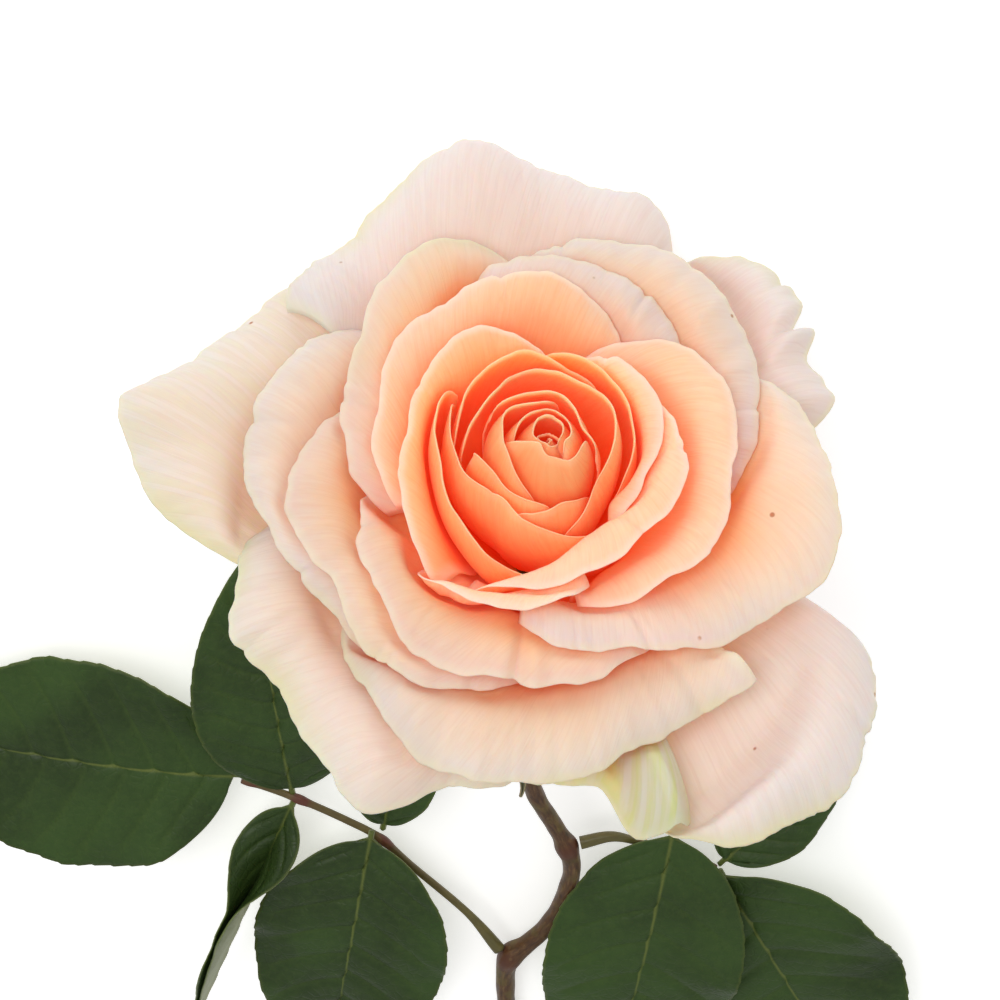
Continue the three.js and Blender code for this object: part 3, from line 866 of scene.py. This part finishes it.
def stem_radius(distance):
    """The stem's radius with its hip at the top, and how near each place is to a leaf node."""
    crown = RECEPTACLE_RADIUS - np.minimum(distance + 0.4, RECEPTACLE_RADIUS)
    dome = np.sqrt(np.maximum(RECEPTACLE_RADIUS**2 - crown**2, 0)) * 0.93
    hip = dome + (NECK_RADIUS - dome) * smoothstep(distance, 0.35 * HIP_END, HIP_END)
    shaft = NECK_RADIUS + (STEM_RADIUS - NECK_RADIUS) * smoothstep(distance, TAPER_START, TAPER_END)
    swelling = sum(np.exp(-(((distance - node) / NODE_HALF_LENGTH) ** 2)) for node in LEAF_NODES)
    return np.where(distance < HIP_END, hip, shaft) + NODE_SWELLING * swelling, swelling


def add_stem():
    rng = np.random.default_rng(71)
    path, distance = smooth_path(stem_points, STEM_POINTS)
    radius, swelling = stem_radius(distance)
    angles = np.linspace(0, 2 * math.pi, STEM_SIDES, endpoint=False)[None, :]
    ridges = 0.025 * np.sin(5 * angles + distance[:, None] * 0.03)
    bumps = waves(rng, distance, (23, 11, 5), (0.05, 0.05, 0.03))[:, None]
    radius_grid = radius[:, None] * (1 + ridges) + bumps
    values = {"distance": distance, "node": swelling, "around": np.cos(angles) + 0 * radius_grid}
    rod_piece("stem", path, radius_grid, values, stem_material())


add_stem()


# --- Sepals ---
def sepal_material():
    g = Graph("sepal")
    place = g.place()
    cloud = g.noise(place, 160.0, 3.0)
    colour = g.ramp(g.value("up"), [(0.0, linear(104, 128, 66)), (1.0, linear(88, 104, 54))])
    colour = g.blend(g.between(cloud, 0.4, 0.7, 0.0, 0.5), colour, linear(126, 146, 88))
    colour = g.blend(g.between(g.value("rim"), 0.0, 0.9, 0.6, 0.0), colour, linear(136, 92, 62))
    felt = g.between(g.value("outer"), 0.4, 0.6, 0.45, 0.0)
    colour = g.blend(felt, colour, linear(186, 196, 156))
    streaks = g.noise(g.vector(g.times(g.value("breadth"), 2.0), g.value("up"), 0.0), 1.5)
    height = g.plus(streaks, cloud)
    g.surface(
        Base_Color=colour,
        Roughness=0.62,
        Normal=g.bump(height, 0.35, 0.0004),
        Sheen_Weight=0.15,
    )
    return g.material


SEPAL_LENGTH = 27.0
SEPAL_HALF_WIDTH = 3.6
SEPAL_THICKNESS = 0.7
SEPAL_OPENING = 112.0  # past 90 degrees, so bent back towards the stem
SEPAL_COUNT = 5
FIRST_SEPAL_TURN = 54


def add_sepal(i, material):
    rng = np.random.default_rng(300 + i)
    up = np.linspace(0, 1, 40)[:, None]
    across = np.linspace(-1, 1, 17)[None, :]
    half_width = SEPAL_HALF_WIDTH * (1 - 0.94 * up**2) * (1 + 0.12 * np.sin(up * 9))
    reach = PETAL_FOOT + 0.6 + SEPAL_LENGTH * up + 0 * across
    bend = waves(rng, up * SEPAL_LENGTH, (30, 14), (1.4, 0.8)) * up
    middle = FIRST_SEPAL_TURN + 360 / SEPAL_COUNT * i
    turn = middle + np.degrees(across * half_width / reach) * 0.6 + bend * 2
    midrib = 0.6 * np.exp(-((across / 0.16) ** 2))
    opening = SEPAL_OPENING + 10 * up - 3 * across**2 + midrib + bend
    values = {
        "up": up,
        "rim": (1 - np.abs(across)) * half_width,
        "breadth": across * half_width,
    }
    thickness = SEPAL_THICKNESS * (1 - 0.6 * across**2) * (1 - 0.5 * up)
    grid = flower_point(turn, opening, reach)
    sheet_piece(f"sepal_{i + 1}", grid, thickness, values, material)


sepal_look = sepal_material()
for sepal_index in range(SEPAL_COUNT):
    add_sepal(sepal_index, sepal_look)


# --- Leaves ---
LEAF_DARK = linear(36, 54, 18)
LEAF_GREEN = linear(50, 74, 28)
LEAF_VEIN = linear(78, 98, 42)
MIDRIB_OLIVE = linear(100, 110, 50)
UNDERSIDE = linear(142, 146, 104)
STALK_RED = linear(92, 46, 32)
STALK_OLIVE = linear(90, 84, 40)


def leaf_material():
    g = Graph("leaf")
    place = g.place()
    vein, midrib, rim = g.value("vein"), g.value("midrib"), g.value("rim")
    cloud = g.noise(place, 42.0, 3.0)
    grain = g.noise(place, 700.0, 3.0, 0.6)
    top = g.blend(g.between(cloud, 0.35, 0.68), LEAF_DARK, LEAF_GREEN)
    top = g.blend(g.between(grain, 0.35, 0.75, 0.0, 0.15), top, LEAF_VEIN)
    top = g.blend(g.times(vein, 0.22), top, LEAF_VEIN)
    top = g.blend(g.between(midrib, 0.2, 0.75, 0.8, 0.0), top, MIDRIB_OLIVE)
    top = g.blend(g.between(rim, 0.0, 0.7, 0.35, 0.0), top, MIDRIB_OLIVE)
    under = g.blend(g.between(cloud, 0.3, 0.7, 0.2, 0.75), UNDERSIDE, LEAF_VEIN)
    under = g.blend(g.times(vein, 0.5), under, MIDRIB_OLIVE)
    colour = g.blend(g.between(g.value("outer"), 0.45, 0.55), under, top)
    cells = g.node("TexVoronoi", {"Vector": place, "Scale": 520.0}, feature="DISTANCE_TO_EDGE")
    mesh_veins = g.between(cells.outputs["Distance"], 0.0, 0.12)
    height = g.plus(g.times(grain, 0.4), mesh_veins)
    g.surface(
        Base_Color=colour,
        Roughness=g.between(cloud, 0.3, 0.7, 0.44, 0.58),
        Normal=g.bump(height, 0.22, 0.0003),
        Specular_IOR_Level=0.28,
        Subsurface_Weight=0.05,
        Subsurface_Radius=(0.4, 0.8, 0.2),
        Subsurface_Scale=0.001,
    )
    return g.material


def stalk_material():
    g = Graph("leaf_stalk")
    place = g.place()
    mottle = g.noise(place, 300.0, 3.0)
    streaks = g.noise(g.vector(g.value("around"), g.times(g.value("distance"), 0.2), 0.0), 3.0)
    colour = g.ramp(g.value("redness"), [(0.1, STALK_OLIVE), (0.8, STALK_RED)])
    colour = g.blend(g.between(mottle, 0.4, 0.7, 0.0, 0.45), colour, linear(112, 102, 56))
    colour = g.blend(g.between(streaks, 0.4, 0.7, 0.0, 0.3), colour, linear(72, 50, 30))
    g.surface(
        Base_Color=colour,
        Roughness=g.between(mottle, 0.3, 0.7, 0.42, 0.6),
        Normal=g.bump(g.plus(mottle, streaks), 0.4, 0.0003),
    )
    return g.material


leaf_look = leaf_material()
stalk_look = stalk_material()
LEAFLET_THICKNESS = 0.5
STALK_HALF_WIDTH = 0.4
STALK_LENGTH = 2.0  # the narrow stalk between the blade and the leaf stalk
LEAF_ROWS = 110
LEAF_COLUMNS = 48
MIDRIB_CROWDING = 1.15  # above 1, columns of points lie closer to the midrib
TOOTH_LENGTH = 3.1
TOOTH_DEPTH = 0.014  # of the leaflet's half width
SIDE_VEINS = 8.5
VEIN_LEAN = 0.16  # how far towards the tip the side veins reach the edge
LOWEST_LEAF = 0.35  # over the table


def turned(vector, axis, angle):
    """A vector turned round an axis square to it."""
    return math.cos(angle) * vector + math.sin(angle) * np.cross(axis, vector)


def add_leaflet(name, rng, base, tip, half_width, rise, fold, twist=0, fold_tip=None):
    """A leaflet from its stalk to its tip. rise lifts its middle, twist turns it round its midrib,
    and fold raises each half from the midrib, in degrees, up to fold_tip towards its tip."""
    base, tip = part_point(*base), part_point(*tip)
    length = np.linalg.norm(tip - base)
    direction = (tip - base) / length
    base = base - STALK_LENGTH * direction
    flat = np.cross(direction, upright)
    flat /= np.linalg.norm(flat)
    t = np.linspace(0, 1, LEAF_ROWS + 1)[:, None]
    s = np.linspace(-1, 1, LEAF_COLUMNS + 1)[None, :]
    s = np.sign(s) * np.abs(s) ** MIDRIB_CROWDING

    blade = np.maximum(0, t * (length + STALK_LENGTH) - STALK_LENGTH) / length
    outline = np.maximum(0, np.sin(math.pi * blade**0.78)) ** 0.7
    tooth = (t * round(length / TOOTH_LENGTH)) % 1.0 - 0.5
    toothed = smoothstep(t, 0.08, 0.2) * smoothstep(1 - t, 0.0, 0.08)
    smooth_width = STALK_HALF_WIDTH + half_width * outline
    width = smooth_width * (1 + TOOTH_DEPTH * tooth * toothed)

    phase = SIDE_VEINS * (t * 1.04 - VEIN_LEAN * np.abs(s) ** 1.35 - 0.02 * np.sign(s))
    off_vein = np.abs(phase - np.round(phase)) / SIDE_VEINS * length
    in_blade = smoothstep(1 - np.abs(s), 0.02, 0.3) * smoothstep(t, 0.03, 0.12)
    vein = np.exp(-((off_vein / 0.42) ** 2)) * in_blade * smoothstep(1 - t, 0.02, 0.15)
    from_midrib = np.abs(s) * smooth_width
    groove = np.exp(-((from_midrib / 0.75) ** 2))

    quilt = 0.32 * np.minimum(off_vein / 1.6, 1) ** 2 * in_blade
    edge_wave = waves(rng, t * length, (34, 17, 9), (0.9, 0.5, 0.2)) * np.abs(s) ** 2.2 * outline
    other_wave = waves(rng, t * length, (41, 23), (0.5, 0.35)) * np.sign(s) * np.abs(s) ** 2 * outline
    height = quilt - 0.3 * vein - 0.55 * groove + edge_wave + other_wave

    fold_tip = fold if fold_tip is None else fold_tip
    folding = np.radians(fold + (fold_tip - fold) * smoothstep(t, 0.06, 0.4))
    across = turned(flat, direction, math.radians(twist))
    above = np.cross(across, direction)
    midrib = base + t[..., None] * (tip - base)
    midrib = midrib + (rise * 4 * t * (1 - t))[..., None] * upright
    grid = midrib + (width * s * np.cos(folding))[..., None] * across
    grid = grid + (width * np.abs(s) * np.sin(folding) + height)[..., None] * above
    grid[..., 2] = np.maximum(grid[..., 2], part_origin[2] + LOWEST_LEAF)

    thickness = LEAFLET_THICKNESS * (1 - 0.45 * np.abs(s)) + 0.5 * groove * (1 - 0.7 * t)
    values = {
        "vein": vein,
        "midrib": from_midrib + 0.5 * t,
        "rim": (1 - np.abs(s)) * width,
    }
    sheet_piece(name, grid, thickness, values, leaf_look)


RACHIS_RADIUS = 0.75
RACHIS_SIDES = 20
RACHIS_POINTS = 150
STIPULE_LENGTH = 12  # the stalk is broader where its stipules clasp the stem
JOINT_HALF_LENGTH = 1.6


def add_rachis(name, points, joints):
    """A leaf stalk. joints are the distances where leaflets meet it, reddish and swollen."""
    path, distance = smooth_path([part_point(*p) for p in points], RACHIS_POINTS)
    clasp = 1 - smoothstep(distance, 0, STIPULE_LENGTH)
    knots = sum(np.exp(-(((distance - joint) / JOINT_HALF_LENGTH) ** 2)) for joint in joints)
    radius = RACHIS_RADIUS * (1 + 0.6 * clasp + 0.35 * knots - 0.15 * distance / distance[-1])
    angle = np.linspace(0, 2 * math.pi, RACHIS_SIDES, endpoint=False)[None, :]
    channel = 1 - 0.22 * np.exp(-(((angle - math.pi / 2) / 0.4) ** 2))
    radius_grid = radius[:, None] * channel
    values = {
        "distance": distance,
        "redness": np.clip(knots + 0.25 * smoothstep(distance, 8, 20), 0, 1),
        "around": np.cos(angle) + 0 * radius_grid,
    }
    rod_piece(name, path, radius_grid, values, stalk_look)


add_rachis(
    "leaf_left_rachis",
    [
        (-4.3, -98.6, 6.8),
        (-9.7, -90.1, 7.5),
        (-20.5, -77.9, 8.3),
        (-26.2, -71.4, 8.6),
        (-32.1, -67.4, 8.8),
        (-40.9, -62.3, 9.2),
        (-50.2, -58.2, 9.2),
    ],
    joints=(33.6, 51.5, 61.5),
)
add_rachis(
    "leaf_right_rachis",
    [
        (10.3, -69.2, 13.4),
        (15.9, -68.1, 13),
        (21.1, -70.6, 11.3),
        (26.8, -73.2, 10.3),
        (35, -77.2, 10.5),
    ],
    joints=(16.5, 26),
)
leaflets = {
    "left_terminal": dict(base=(-52.2, -57.4, 9.2), tip=(-114, -51.5, 1), half_width=22, rise=3, fold=4),
    "left_upper_2": dict(base=(-41.5, -59.6, 9.7), tip=(-46, -9, 13), half_width=14, rise=3, fold=8),
    "left_lower_2": dict(
        base=(-42, -65, 8.9), tip=(-63, -121, 2), half_width=9, rise=0, twist=24, fold=20, fold_tip=86
    ),
    "left_upper_1": dict(base=(-25, -68, 8.8), tip=(-18, -30, 9.5), half_width=8, rise=2, fold=20),
    "left_lower_1": dict(
        base=(-27.6, -70.6, 10.9), tip=(-37.5, -130, 1.2), half_width=17.8, rise=3, twist=8, fold=4
    ),
    "right_terminal": dict(
        base=(36.6, -79.3, 10.8), tip=(66, -139, 1.5), half_width=22, rise=1, twist=9, fold=4
    ),
    "right_lower": dict(
        base=(26.6, -68.2, 13.2), tip=(16, -137, 1.2), half_width=17.8, rise=5, twist=3, fold=0
    ),
    "right_upper": dict(base=(36.8, -74.2, 11.4), tip=(57, -46, 8.5), half_width=9, rise=2, fold=6),
}
for seed, (leaf_name, shape) in enumerate(leaflets.items()):
    add_leaflet(f"leaf_{leaf_name}", np.random.default_rng(500 + seed), **shape)


# --- The table, the light and the camera ---
WHITE = (1.0, 1.0, 1.0, 1.0)
FLOOR_HALF_SIZE = 3.0  # in metres
FLOOR_BELOW = 0.0002  # in metres, so that nothing lies in the floor's own plane


def floor_material():
    g = Graph("pale_floor")
    cloud = g.noise(g.place(), 3.0, 2.0)
    g.surface(
        Base_Color=g.ramp(cloud, [(0.3, (0.92, 0.92, 0.92, 1)), (0.7, (0.94, 0.94, 0.94, 1))]),
        Roughness=0.9,
        Emission_Color=WHITE,
        Emission_Strength=0.42,
    )
    return g.material


def add_floor():
    corners = [
        (x * FLOOR_HALF_SIZE, y * FLOOR_HALF_SIZE, -FLOOR_BELOW)
        for x, y in ((-1, -1), (1, -1), (1, 1), (-1, 1))
    ]
    mesh = bpy.data.meshes.new("floor")
    mesh.from_pydata(corners, [], [(0, 1, 2, 3)])
    mesh.materials.append(floor_material())
    floor = bpy.data.objects.new("floor", mesh)
    bpy.context.collection.objects.link(floor)


def add_world(strength):
    world = bpy.data.worlds.new("studio")
    world.use_nodes = True
    background = world.node_tree.nodes["Background"]
    background.inputs["Color"].default_value = WHITE
    background.inputs["Strength"].default_value = strength
    bpy.context.scene.world = world


def add_light(name, offset, size, energy):
    """A square soft light at an offset in metres from the flower, aimed at it."""
    light = bpy.data.lights.new(name, "AREA")
    light.size = size
    light.energy = energy
    lamp = bpy.data.objects.new(name, light)
    bpy.context.collection.objects.link(lamp)
    target = Vector(flower_centre * MM)
    lamp.location = target + Vector(offset)
    lamp.rotation_euler = (target - lamp.location).to_track_quat("-Z", "Y").to_euler()


CAMERA_DISTANCE = 450.0
CAMERA_ELEVATION = math.radians(60)
SENSOR_WIDTH = 36.0
VIEW_WIDTH = 154.0  # what the picture takes in at the target's distance
TARGET_FROM_FLOWER = np.array([-4.121, 21.085, 10.921])


def add_camera():
    """A camera that looks down on the table, with the picture's right along +X."""
    right = np.array([1.0, 0.0, 0.0])
    picture_up = np.array([0.0, math.sin(CAMERA_ELEVATION), -math.cos(CAMERA_ELEVATION)])
    behind = np.array([0.0, math.cos(CAMERA_ELEVATION), math.sin(CAMERA_ELEVATION)])
    place = (flower_centre + TARGET_FROM_FLOWER + behind * CAMERA_DISTANCE) * MM
    data = bpy.data.cameras.new("camera")
    data.sensor_width = SENSOR_WIDTH
    data.lens = SENSOR_WIDTH * CAMERA_DISTANCE / VIEW_WIDTH
    data.clip_start = 0.01
    camera = bpy.data.objects.new("camera", data)
    bpy.context.collection.objects.link(camera)
    rows = np.stack([right, picture_up, behind, place], axis=1).tolist()
    camera.matrix_world = Matrix([*rows, [0, 0, 0, 1]])
    bpy.context.scene.camera = camera


add_floor()
add_world(0.55)
add_light("softbox", offset=(-0.2, 0.5, 0.8), size=0.6, energy=4.9)
add_camera()
bpy.context.scene.view_settings.view_transform = "Standard"
bpy.context.scene.cycles.diffuse_bounces = 12
